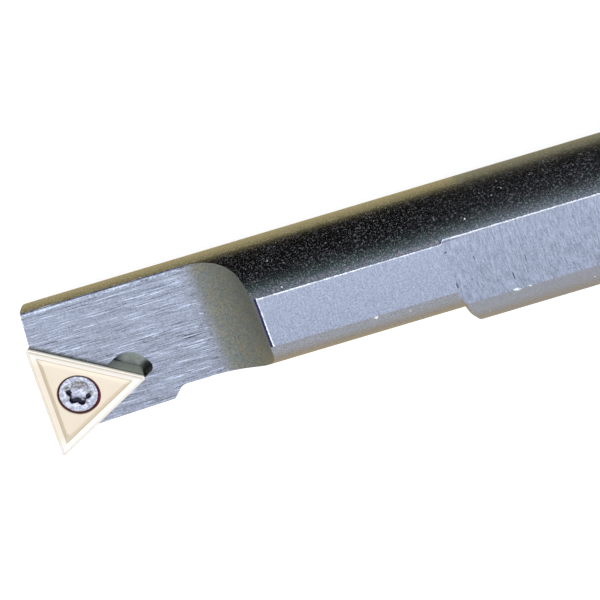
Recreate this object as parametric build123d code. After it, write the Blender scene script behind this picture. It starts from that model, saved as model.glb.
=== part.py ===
from build123d import *
import math
import os

# Right-hand boring bar with a screwed-on triangular insert, in millimetres.
# The origin is on the shank's axis at the rear end face. +X runs along the bar to the head, +Y is the
# side that the cutting corner stands out on, and +Z is up, through the top flat.

# Bar: shank
OVERALL_LENGTH = 152.4  # rear end face to the cutting corner
SHANK_DIAMETER = 12.7
TOP_FLAT_HEIGHT = 5.49  # axis to the shank's top flat
UNDERSIDE_FLAT_DEPTH = 5.49  # axis to the flat that the bar lies on
REAR_CHAMFER = 0.8

# Bar: neck, turned off centre so that it clears the bore behind the head
NECK_LENGTH = 39.8  # cutting corner back to the shoulder
NECK_DIAMETER = 12.7
NECK_OFFSET_Y = -1.67  # neck's centre from the shank's
NECK_OFFSET_Z = 0.36
NECK_FLAT_HEIGHT = 5.66  # axis to the neck's top flat
NECK_RAMP_ANGLE = 45.0  # slope from the neck up to the head's side
NECK_FILLET = 1.0  # at the foot of that slope
SHOULDER_CHAMFER = 0.35  # round the shank's front edge, where it stands out past the neck

# Bar: head
CUTTING_REACH = 7.9  # shank axis to the cutting corner, across the bar
CENTRE_HEIGHT = 0.0  # shank axis to the cutting corner, upwards
RAKE_TILT = 6.6  # the head's face falls this many degrees towards the cutting side
HEAD_LENGTH = 11.3  # cutting corner back to where the head's side ends
HEAD_SIDE_REACH = 5.73  # axis to the head's side, at its rear end
HEAD_SIDE_TAPER = 1.7  # degrees: the side spreads towards the front
RUN_OUT_START = 15.6  # cutting corner back to where the face begins to curve up
RUN_OUT_RADIUS = 6.9
FRONT_SETBACK = 0.33  # the front stands this far behind the insert's front edge
FRONT_CORNER_GAP = 0.07  # the front turns back this far past the insert's corner
FRONT_LEAN = 6.4  # degrees: how the front turns back there

# Insert: equilateral, positive, with a ground-in chip groove
INSCRIBED_DIAMETER = 6.35
INSERT_THICKNESS = 2.38
RELIEF_ANGLE = 7.0
NOSE_RADIUS = 0.2
BASE_CORNER_RADIUS = 0.1  # round the same corners at the insert's base
INSERT_LEAN = 2.5  # degrees: the cutting corner leads the front edge
INSERT_PROUD = 0.53  # insert's top above the head's face
INSERT_HOLE_DIAMETER = 2.8
COUNTERSINK_DIAMETER = 3.8
LAND_WIDTH = 0.28  # rim between the cutting edge and the groove
GROOVE_DEPTH = 0.1
GROOVE_RAKE_WIDTH = 0.42  # from the rim down to the groove's floor
GROOVE_FLOOR_WIDTH = 0.12
GROOVE_BACK_WIDTH = 0.21  # from the groove's floor up to the raised centre
CENTRE_CORNER_RADIUS = 0.25  # round the corners of the groove and of the raised centre

# Pocket
WALL_CLEARANCE = 0.02  # pocket walls off the insert's flanks
CORNER_OVERRUN = 1.1  # corner relief past the insert's inner corner
CORNER_WIDTH = 3.2  # corner relief across, from the rear wall
CORNER_DEPTH = 0.25  # corner relief below the pocket's floor
CORNER_OUTER_RADIUS = 1.9
CORNER_INNER_RADIUS = 0.7

# Screw
SCREW_DIAMETER = 2.5
SCREW_LENGTH = 5.5
SCREW_HEAD_DIAMETER = 3.5
SCREW_HEAD_RIM = 0.14
CONE_ANGLE = 60.0  # countersink and head, across both sides
SEAT_CLEARANCE = 0.01  # head's cone off the countersink
THREAD_CLEARANCE = 0.03  # screw off its hole, on the radius
HOLE_MOUTH_CHAMFER = 0.2
SCREW_TIP_CHAMFER = 0.3
SOCKET_ACROSS = 2.2  # six-lobe socket over its lobes
SOCKET_WAIST = 1.6  # six-lobe socket between its flutes
SOCKET_FLUTE_RADIUS = 0.46
SOCKET_CORNER_RADIUS = 0.08
SOCKET_DEPTH = 0.9
SOCKET_TURN = 32.0  # degrees from the bar's axis to the first lobe
SOCKET_LOBES = 6

# Worked out from the above
MARGIN = SHANK_DIAMETER  # how far cutting shapes reach past the bar
SHANK_RADIUS = SHANK_DIAMETER / 2
NECK_RADIUS = NECK_DIAMETER / 2
SHOULDER_X = OVERALL_LENGTH - NECK_LENGTH
INSERT_INRADIUS = INSCRIBED_DIAMETER / 2
INSERT_CIRCUMRADIUS = INSCRIBED_DIAMETER
CUTTING_ANGLE = 60.0 - INSERT_LEAN  # direction of the cutting corner from the insert's hole
INSERT_CORNERS = 3
CORNER_STEP = 360 / INSERT_CORNERS
HALF_CONE = math.tan(math.radians(CONE_ANGLE / 2))


def insert_corner(turn):
    """A sharp corner of the insert, turned from the cutting corner, in the insert's own plane."""
    angle = math.radians(CUTTING_ANGLE + turn)
    return Vector(INSERT_CIRCUMRADIUS * math.cos(angle), INSERT_CIRCUMRADIUS * math.sin(angle))


def insert_plane():
    """The plane of the insert's top face, its origin on the hole's axis and its x along the bar."""
    tilt = math.radians(RAKE_TILT)
    corner = insert_corner(0)
    hole = Vector(
        OVERALL_LENGTH - corner.X,
        CUTTING_REACH - corner.Y * math.cos(tilt),
        CENTRE_HEIGHT + corner.Y * math.sin(tilt),
    )
    return Plane(origin=hole, x_dir=(1, 0, 0), z_dir=(0, math.sin(tilt), math.cos(tilt)))


def triangle(inset):
    """The insert's sharp outline in its own plane, moved in by inset."""
    return RegularPolygon(INSERT_CIRCUMRADIUS - 2 * inset, INSERT_CORNERS, rotation=CUTTING_ANGLE)


def round_triangle(inset, radius):
    """The insert's outline, moved in by inset, with round corners."""
    return fillet(triangle(inset).vertices(), radius)


def frustum(low, high, height, start):
    """A solid between two outlines that lie height apart, the lower one at start."""
    return loft([Pos(0, 0, start) * low, Pos(0, 0, start + height) * high], ruled=True)


def blank():
    """The round bar with its rear chamfer, top flat and underside flat."""
    bar = extrude(Plane.YZ * Circle(SHANK_RADIUS), OVERALL_LENGTH)
    bar = chamfer(bar.edges().sort_by(Axis.X)[0], REAR_CHAMFER)
    to_corner = (Align.MIN, Align.CENTER, Align.MIN)
    over_shank = Box(SHOULDER_X, 2 * MARGIN, MARGIN, align=to_corner)
    over_neck = Box(OVERALL_LENGTH, 2 * MARGIN, MARGIN, align=to_corner)
    under = Box(OVERALL_LENGTH, 2 * MARGIN, MARGIN, align=(Align.MIN, Align.CENTER, Align.MAX))
    bar -= Pos(0, 0, TOP_FLAT_HEIGHT) * over_shank
    bar -= Pos(SHOULDER_X, 0, NECK_FLAT_HEIGHT) * over_neck
    return bar - Pos(0, 0, -UNDERSIDE_FLAT_DEPTH) * under


def neck_relief():
    """The ring that turning the neck off centre takes away, with a filleted ramp up to the head."""
    ramp_foot_x = ramp_top_x() - (ramp_top_radius() - NECK_RADIUS) / math.tan(
        math.radians(NECK_RAMP_ANGLE)
    )
    far_x = ramp_foot_x + MARGIN / math.tan(math.radians(NECK_RAMP_ANGLE))
    ring = Polygon(
        (SHOULDER_X, NECK_RADIUS),
        (ramp_foot_x, NECK_RADIUS),
        (far_x, NECK_RADIUS + MARGIN),
        (SHOULDER_X, NECK_RADIUS + MARGIN),
        align=None,
    )
    foot = ring.vertices().sort_by_distance((ramp_foot_x, NECK_RADIUS))[0]
    ring = fillet(foot, NECK_FILLET)
    return Pos(0, NECK_OFFSET_Y, NECK_OFFSET_Z) * revolve(ring, Axis.X)


def shoulder_chamfer():
    """The sliver that breaks the shank's front edge, wherever the neck lies below that edge."""
    sliver = Polygon(
        (SHOULDER_X - SHOULDER_CHAMFER, SHANK_RADIUS),
        (SHOULDER_X, SHANK_RADIUS - SHOULDER_CHAMFER),
        (SHOULDER_X, SHANK_RADIUS + SHOULDER_CHAMFER),
        (SHOULDER_X - SHOULDER_CHAMFER, SHANK_RADIUS + SHOULDER_CHAMFER),
        align=None,
    )
    neck = extrude(Plane.YZ * Pos(NECK_OFFSET_Y, NECK_OFFSET_Z) * Circle(NECK_RADIUS), OVERALL_LENGTH)
    return revolve(sliver, Axis.X) - neck


def ramp_top_x():
    """Where the head's side ends and the ramp down to the neck begins."""
    return OVERALL_LENGTH - HEAD_LENGTH


def ramp_top_radius():
    """The ramp's radius at the head's side, about the neck's own centre."""
    return HEAD_SIDE_REACH - NECK_OFFSET_Y


def head_side():
    """What milling the head's side takes away, beyond a wall that spreads towards the front."""
    front_x = OVERALL_LENGTH + MARGIN
    front_y = HEAD_SIDE_REACH + (front_x - ramp_top_x()) * math.tan(math.radians(HEAD_SIDE_TAPER))
    far_y = front_y + MARGIN
    outline = Polygon(
        (ramp_top_x(), HEAD_SIDE_REACH),
        (front_x, front_y),
        (front_x, far_y),
        (ramp_top_x() - MARGIN, far_y),
        align=None,
    )
    return extrude(outline, MARGIN, both=True)


def head_face():
    """What milling the tilted face takes away, with the cutter's run-out at its rear."""
    plane = insert_plane()
    start_x = OVERALL_LENGTH - RUN_OUT_START - plane.origin.X
    front_x = OVERALL_LENGTH + MARGIN - plane.origin.X
    top = RUN_OUT_RADIUS - INSERT_PROUD
    rear_x = start_x - RUN_OUT_RADIUS
    curve = RadiusArc((start_x, -INSERT_PROUD), (rear_x, top), RUN_OUT_RADIUS)
    sides = Polyline((rear_x, top), (front_x, top), (front_x, -INSERT_PROUD), (start_x, -INSERT_PROUD))
    profile = make_face([curve, sides])
    across = Plane(origin=plane.origin, x_dir=plane.x_dir, z_dir=-plane.y_dir)
    return extrude(across * profile, MARGIN, both=True)


def front_trim():
    """What lies in front of the head: behind the insert's edge, and leaning back past its corner."""
    plane = insert_plane()
    cutting = plane.from_local_coords(insert_corner(0))
    outer = plane.from_local_coords(insert_corner(-CORNER_STEP))
    along = Vector(outer.X - cutting.X, outer.Y - cutting.Y).normalized()
    behind = Vector(-FRONT_SETBACK, 0)
    bend = Vector(outer.X, outer.Y) + behind - along * FRONT_CORNER_GAP
    near = Vector(cutting.X, cutting.Y) + behind - along * MARGIN
    lean = math.radians(FRONT_LEAN)
    far = bend - Vector(math.sin(lean), math.cos(lean)) * MARGIN
    front_x = OVERALL_LENGTH + MARGIN
    outline = Polygon(
        (near.X, near.Y), (bend.X, bend.Y), (far.X, far.Y), (front_x, far.Y), (front_x, near.Y), align=None
    )
    return extrude(outline, MARGIN, both=True)


def pocket():
    """The insert's seat: its outline doubled about the inner corner, open to the front and side."""
    inner = insert_corner(CORNER_STEP)
    outline = scale(triangle(0), 2)
    outline = offset(outline, WALL_CLEARANCE, kind=Kind.INTERSECTION)
    seat = extrude(outline, -INSERT_THICKNESS, taper=RELIEF_ANGLE)
    return insert_plane() * Pos(-inner.X, -inner.Y) * seat


def corner_relief():
    """The milled relief past the insert's inner corner, set out from the pocket's rear wall."""
    inner = insert_corner(CORNER_STEP)
    cutting = insert_corner(0)
    wall_angle = math.degrees(math.atan2(cutting.Y - inner.Y, cutting.X - inner.X))
    length = CORNER_OVERRUN + INSERT_INRADIUS
    outline = Pos(-CORNER_OVERRUN, WALL_CLEARANCE) * Rectangle(
        length, CORNER_WIDTH, align=(Align.MIN, Align.MAX)
    )
    ends = outline.vertices().sort_by(Axis.X)[:2].sort_by(Axis.Y)
    outline = fillet(ends[0], CORNER_OUTER_RADIUS)
    ends = outline.vertices().sort_by_distance((-CORNER_OVERRUN, WALL_CLEARANCE))
    outline = fillet(ends[0], CORNER_INNER_RADIUS)
    depth = INSERT_THICKNESS + CORNER_DEPTH
    relief = extrude(outline, -depth)
    return insert_plane() * Pos(inner.X, inner.Y) * Rot(0, 0, wall_angle) * relief


def tapped_hole():
    """The hole for the screw, through the head from the pocket's floor, with a broken mouth."""
    radius = SCREW_DIAMETER / 2 + THREAD_CLEARANCE
    mouth = radius + HOLE_MOUTH_CHAMFER
    profile = Polygon(
        (0, -INSERT_THICKNESS),
        (mouth, -INSERT_THICKNESS),
        (radius, -INSERT_THICKNESS - HOLE_MOUTH_CHAMFER),
        (radius, -INSERT_THICKNESS - MARGIN),
        (0, -INSERT_THICKNESS - MARGIN),
        align=None,
    )
    return insert_plane() * revolve(Plane.XZ * profile, Axis.Z)


def make_bar():
    """The steel body, from its rear face to the insert's pocket."""
    body = blank() - neck_relief() - shoulder_chamfer() - head_side() - head_face() - front_trim()
    return body - pocket() - corner_relief() - tapped_hole()


def chip_groove():
    """The groove round the insert's top face, which leaves a rim outside and a raised centre inside."""
    foot = LAND_WIDTH + GROOVE_RAKE_WIDTH
    centre_foot = foot + GROOVE_FLOOR_WIDTH
    centre_top = centre_foot + GROOVE_BACK_WIDTH
    hollow = frustum(
        round_triangle(foot, CENTRE_CORNER_RADIUS),
        round_triangle(LAND_WIDTH, CENTRE_CORNER_RADIUS),
        GROOVE_DEPTH,
        -GROOVE_DEPTH,
    )
    centre = frustum(
        round_triangle(centre_foot, CENTRE_CORNER_RADIUS),
        round_triangle(centre_top, CENTRE_CORNER_RADIUS),
        GROOVE_DEPTH,
        -GROOVE_DEPTH,
    )
    return hollow - centre


def insert_hole():
    """The insert's through hole with its conical countersink."""
    hole = INSERT_HOLE_DIAMETER / 2
    mouth = COUNTERSINK_DIAMETER / 2
    cone_depth = (mouth - hole) / HALF_CONE
    profile = Polygon(
        (0, 0), (mouth, 0), (hole, -cone_depth), (hole, -INSERT_THICKNESS), (0, -INSERT_THICKNESS), align=None
    )
    return revolve(Plane.XZ * profile, Axis.Z)


def make_insert():
    """The triangular insert: flanks that fall in at the relief angle, groove, hole."""
    shrink = INSERT_THICKNESS * math.tan(math.radians(RELIEF_ANGLE))
    base = round_triangle(shrink, BASE_CORNER_RADIUS)
    top = round_triangle(0, NOSE_RADIUS)
    body = frustum(base, top, INSERT_THICKNESS, -INSERT_THICKNESS)
    return insert_plane() * (body - chip_groove() - insert_hole())


def six_lobe_socket():
    """The screw's socket: a round with six flutes let into it."""
    flute_centre = SOCKET_WAIST / 2 + SOCKET_FLUTE_RADIUS
    flutes = PolarLocations(flute_centre, SOCKET_LOBES, start_angle=180 / SOCKET_LOBES)
    outline = Circle(SOCKET_ACROSS / 2) - flutes * Circle(SOCKET_FLUTE_RADIUS)
    outline = fillet(outline.vertices(), SOCKET_CORNER_RADIUS)
    return Rot(0, 0, SOCKET_TURN) * extrude(outline, -SOCKET_DEPTH)


def screw_head_top():
    """How far the screw's head lies below the insert's top, for its cone to meet the countersink."""
    rim = SCREW_HEAD_DIAMETER / 2 + SEAT_CLEARANCE / math.cos(math.radians(CONE_ANGLE / 2))
    return (COUNTERSINK_DIAMETER / 2 - rim) / HALF_CONE - SCREW_HEAD_RIM


def make_screw():
    """The countersunk clamping screw, its thread as a plain round of the outer diameter."""
    rim = SCREW_HEAD_DIAMETER / 2
    shank = SCREW_DIAMETER / 2
    cone_foot = SCREW_HEAD_RIM + (rim - shank) / HALF_CONE
    profile = Polygon(
        (0, 0),
        (rim, 0),
        (rim, -SCREW_HEAD_RIM),
        (shank, -cone_foot),
        (shank, SCREW_TIP_CHAMFER - SCREW_LENGTH),
        (shank - SCREW_TIP_CHAMFER, -SCREW_LENGTH),
        (0, -SCREW_LENGTH),
        align=None,
    )
    screw = revolve(Plane.XZ * profile, Axis.Z) - six_lobe_socket()
    return insert_plane() * Pos(0, 0, -screw_head_top()) * screw


def main():
    """Builds each piece and writes it under its own name."""
    os.makedirs("parts", exist_ok=True)
    pieces = {"bar": make_bar(), "insert": make_insert(), "insert_screw": make_screw()}
    for name, piece in pieces.items():
        export_step(piece, f"parts/{name}.step")


main()
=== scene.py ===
"""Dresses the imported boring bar: steel finishes, insert and screw in detail, burrs, studio and camera."""

import logging
import math
import random
from dataclasses import dataclass
from enum import Enum
from functools import reduce

import bmesh
import bpy
from mathutils import Matrix, Vector


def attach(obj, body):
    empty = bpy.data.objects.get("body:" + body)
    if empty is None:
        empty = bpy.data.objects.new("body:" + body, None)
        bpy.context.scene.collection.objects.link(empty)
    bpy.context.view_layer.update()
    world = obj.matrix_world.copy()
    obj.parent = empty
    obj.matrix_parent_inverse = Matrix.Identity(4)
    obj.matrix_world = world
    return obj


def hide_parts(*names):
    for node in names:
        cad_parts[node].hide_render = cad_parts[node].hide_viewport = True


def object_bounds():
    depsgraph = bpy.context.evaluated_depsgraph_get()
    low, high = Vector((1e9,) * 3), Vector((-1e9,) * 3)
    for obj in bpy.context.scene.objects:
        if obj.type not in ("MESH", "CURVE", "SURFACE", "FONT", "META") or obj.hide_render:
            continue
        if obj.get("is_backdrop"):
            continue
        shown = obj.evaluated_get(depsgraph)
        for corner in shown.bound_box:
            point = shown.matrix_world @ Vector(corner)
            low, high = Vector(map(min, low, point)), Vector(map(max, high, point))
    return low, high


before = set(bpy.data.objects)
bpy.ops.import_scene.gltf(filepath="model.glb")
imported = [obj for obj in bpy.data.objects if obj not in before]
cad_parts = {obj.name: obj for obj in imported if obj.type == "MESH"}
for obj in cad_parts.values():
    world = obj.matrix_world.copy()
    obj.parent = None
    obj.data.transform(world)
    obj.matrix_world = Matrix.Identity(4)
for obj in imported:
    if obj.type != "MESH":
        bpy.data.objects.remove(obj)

MM = 0.001
LOG = logging.getLogger("boring_bar")
SEAT_HALF_ANGLE = math.radians(30)

Operand = object
Socket = bpy.types.NodeSocket
Triple = tuple[float, float, float]


class Body(Enum):
    """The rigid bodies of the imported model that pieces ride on."""

    BAR = "bar"
    INSERT = "insert"
    SCREW = "screw"


class Slot(Enum):
    """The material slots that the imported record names."""

    STEEL = "bar_steel"
    CARBIDE = "coated_carbide"
    SCREW = "screw_steel"


class TreeKind(Enum):
    """What a node tree belongs to."""

    MATERIAL = "Material"
    WORLD = "World"


class Tint(Enum):
    """The colours of the finishes and of the painted light and shade, named after what they colour."""

    STEEL = (0.388, 0.406, 0.450)
    RUN_OUT_WARM = (0.375, 0.355, 0.26)
    RUN_OUT_COOL = (0.315, 0.34, 0.295)
    # Painted shade, painted shadow and painted highlight along the flats' borders and the run-out's edge.
    PAINTED_BORDER_SHADE = (0.10, 0.11, 0.13)
    PAINTED_RUN_OUT_SHADOW = (0.03, 0.027, 0.075)
    PAINTED_RUN_OUT_SHADE = (0.125, 0.125, 0.105)
    PAINTED_EDGE_HIGHLIGHT = (0.98, 0.97, 0.93)
    DUST_WARM = (0.64, 0.40, 0.34)
    DUST_COOL = (0.36, 0.52, 0.38)
    SPECK = (0.85, 0.85, 0.80)
    RELIEF_DARK = (0.46, 0.49, 0.42)
    RELIEF_PALE = (0.60, 0.62, 0.56)
    BURR_DARK = (0.60, 0.60, 0.60)
    BURR_LIGHT = (0.98, 0.97, 0.90)
    GOLD_DEEP = (0.90, 0.755, 0.53)
    GOLD_LIGHT = (0.95, 0.81, 0.59)
    GOLD_CLOUD = (0.93, 0.75, 0.54)
    # Painted shade along the insert's groove creases.
    GOLD_CREASE_SHADE = (0.68, 0.54, 0.36)
    LAND = (0.95, 0.82, 0.62)
    # Painted highlights on the land's inner and outer sides and on the groove's inner slope.
    LAND_INNER_HIGHLIGHT = (0.99, 0.92, 0.76)
    LAND_OUTER_HIGHLIGHT = (0.98, 0.92, 0.80)
    GROOVE_SLOPE_HIGHLIGHT = (1.0, 0.93, 0.80)
    # Painted highlight and painted shade on the insert's inner flank, greyer at its foot.
    FLANK_HIGHLIGHT = (1.0, 0.95, 0.80)
    FLANK_SHADE = (0.20, 0.19, 0.13)
    FLANK_FOOT = (0.50, 0.52, 0.44)
    SEAT_RING_FRONT = (0.10, 0.02, 0.02)
    SEAT_RING_REAR = (0.17, 0.006, 0.025)
    SCREW_DARK = (0.40, 0.39, 0.42)
    SCREW_LIGHT = (0.80, 0.78, 0.78)
    # Painted shade on the socket's walls.
    SOCKET_WALL_SHADE = (0.055, 0.055, 0.085)


@dataclass(frozen=True)
class HeadPlane:
    """The tilted plane of the insert's top face, with the screw's axis as its origin.

    Attributes:
        origin: Where the screw's axis meets the plane, in millimetres.
        tilt_deg: How far the plane leans over towards the cutting side.
    """

    origin: Triple = (148.988, 2.58, 0.6156)
    tilt_deg: float = 6.6

    @property
    def normal(self) -> Vector:
        """The plane's unit normal."""
        tilt = math.radians(self.tilt_deg)
        return Vector((0.0, math.sin(tilt), math.cos(tilt)))

    @property
    def across(self) -> Vector:
        """The unit vector across the bar that lies in the plane."""
        tilt = math.radians(self.tilt_deg)
        return Vector((0.0, math.cos(tilt), -math.sin(tilt)))

    def place(self) -> Matrix:
        """The matrix from the plane's own millimetres to the row frame's metres."""
        turn = Matrix.Rotation(-math.radians(self.tilt_deg), 4, "X")
        return Matrix.Scale(MM, 4) @ Matrix.Translation(self.origin) @ turn


PLANE = HeadPlane()


class Graph:
    """A node tree, with short calls for the nodes that the finishes share."""

    def __init__(self, name: str, kind: TreeKind = TreeKind.MATERIAL) -> None:
        """Starts an empty tree with an output.

        Args:
            name: The name of the tree's owner.
            kind: What the owner is.
        """
        owners = bpy.data.worlds if kind is TreeKind.WORLD else bpy.data.materials
        self.owner = owners.new(name)
        self.owner.use_nodes = True
        self.tree = self.owner.node_tree
        self.tree.nodes.clear()
        self.output = self.node("Output" + kind.value)

    def feed(self, socket: Socket, value: Operand) -> None:
        """Links a socket to another one, or sets it to a constant.

        Args:
            socket: The input to fill.
            value: A number, a vector, a tint or an output socket.
        """
        if isinstance(value, Tint):
            value = value.value
        if isinstance(value, Socket):
            self.tree.links.new(value, socket)
        elif isinstance(value, tuple) and socket.type == "RGBA":
            socket.default_value = (*value, 1.0)
        else:
            socket.default_value = value

    def node(self, kind: str, inputs: dict | None = None, **settings: object) -> bpy.types.Node:
        """Adds a node.

        Args:
            kind: Its type, without the leading ShaderNode.
            inputs: Values by socket name or index.
            **settings: The node's own properties.

        Returns:
            The node.
        """
        made = self.tree.nodes.new("ShaderNode" + kind)
        for key, value in settings.items():
            setattr(made, key, value)
        for key, value in (inputs or {}).items():
            self.feed(made.inputs[key], value)
        return made

    def math(self, operation: str, first: Operand, second: Operand = 0.0) -> Socket:
        """One math node's result."""
        return self.node("Math", {0: first, 1: second}, operation=operation).outputs[0]

    def fold(self, operation: str, *terms: Operand) -> Socket:
        """A math operation over any number of terms, from the first on."""
        return reduce(lambda result, term: self.math(operation, result, term), terms)

    def both(self, *masks: Operand) -> Socket:
        """The product of masks, which is 1 where all of them hold."""
        return self.fold("MULTIPLY", *masks)

    def total(self, *terms: Operand) -> Socket:
        """The sum of terms."""
        return self.fold("ADD", *terms)

    def less(self, *terms: Operand) -> Socket:
        """The first term less the others."""
        return self.fold("SUBTRACT", *terms)

    def most(self, *terms: Operand) -> Socket:
        """The greatest term."""
        return self.fold("MAXIMUM", *terms)

    def ramp(self, value: Operand, low: float, high: float, to_low: Operand = 0.0,
             to_high: Operand = 1.0) -> Socket:
        """A smooth clamped step from to_low, at low, to to_high, at high."""
        inputs = {"Value": value, "From Min": low, "From Max": high, "To Min": to_low, "To Max": to_high}
        return self.node("MapRange", inputs, interpolation_type="SMOOTHSTEP").outputs["Result"]

    def band(self, value: Operand, centre: float, width: float, soft: float) -> Socket:
        """A stripe that is 1 across its full width and fades over soft on either side."""
        away = self.math("ABSOLUTE", self.less(value, centre))
        return self.ramp(away, width / 2, width / 2 + soft, 1.0, 0.0)

    def mix(self, factor: Operand, first: Operand, second: Operand) -> Socket:
        """A blend of two colours: the first where the factor is 0, and the second where it is 1."""
        return self.node("Mix", {0: factor, 6: first, 7: second}, data_type="RGBA").outputs[2]

    def layers(self, ground: Operand, *coats: tuple[Operand, Operand]) -> Socket:
        """A colour with coats laid over it, which are pairs of a mask and a colour, from the lowest up."""
        return reduce(lambda under, coat: self.mix(coat[0], under, coat[1]), coats, ground)

    def blend(self, factor: Operand, first: Operand, second: Operand) -> Socket:
        """A blend of two numbers, in the same way."""
        return self.node("Mix", {0: factor, 2: first, 3: second}, data_type="FLOAT").outputs[0]

    def vector(self, operation: str, first: Operand, second: Operand) -> Socket:
        """One vector math node's vector."""
        return self.node("VectorMath", {0: first, 1: second}, operation=operation).outputs[0]

    def scaled(self, vector: Operand, factor: Operand) -> Socket:
        """A vector or a colour times a number."""
        return self.node("VectorMath", {0: vector, "Scale": factor}, operation="SCALE").outputs[0]

    def dot(self, first: Operand, second: Operand) -> Socket:
        """The dot product of two vectors."""
        return self.node("VectorMath", {0: first, 1: second}, operation="DOT_PRODUCT").outputs["Value"]

    def length(self, vector: Operand) -> Socket:
        """A vector's length."""
        return self.node("VectorMath", {0: vector}, operation="LENGTH").outputs["Value"]

    def parts(self, vector: Socket) -> tuple[Socket, ...]:
        """A vector's X, Y and Z."""
        return tuple(self.node("SeparateXYZ", {0: vector}).outputs)

    def position(self) -> Socket:
        """The point in the row frame, in millimetres."""
        return self.scaled(self.node("TexCoord").outputs["Object"], 1 / MM)

    def facing(self) -> Socket:
        """The surface's normal."""
        return self.node("NewGeometry").outputs["Normal"]

    def noise(self, vector: Operand, scale: float, stretch: Triple = (1.0, 1.0, 1.0), detail: float = 3.0,
              roughness: float = 0.5) -> Socket:
        """Noise around 0.5, with scale features a millimetre, after each axis is squeezed by stretch."""
        look = {"Scale": scale, "Detail": detail, "Roughness": roughness}
        return self.node("TexNoise", {"Vector": self.vector("MULTIPLY", vector, stretch), **look}).outputs[0]

    def bump(self, height: Operand, depth_mm: float, strength: float = 1.0) -> Socket:
        """A normal bumped by a relief from 0 to 1, with the depth of a full step."""
        inputs = {"Height": height, "Distance": depth_mm * MM, "Strength": strength}
        return self.node("Bump", inputs).outputs[0]

    def seen(self) -> Socket:
        """1 for camera, mirror and glass rays and 0 for the rest."""
        path = self.node("LightPath").outputs
        return self.most(path["Is Camera Ray"], path["Is Glossy Ray"], path["Is Transmission Ray"])

    def end(self, shader: bpy.types.Node) -> None:
        """Links the shader to the output."""
        self.tree.links.new(shader.outputs[0], self.output.inputs[0])

    def surface(self, **inputs: Operand) -> bpy.types.Material:
        """Ends the tree in a principled shader, whose inputs have underscores for spaces."""
        self.end(self.node("BsdfPrincipled", {key.replace("_", " "): value for key, value in inputs.items()}))
        return self.owner


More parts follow.
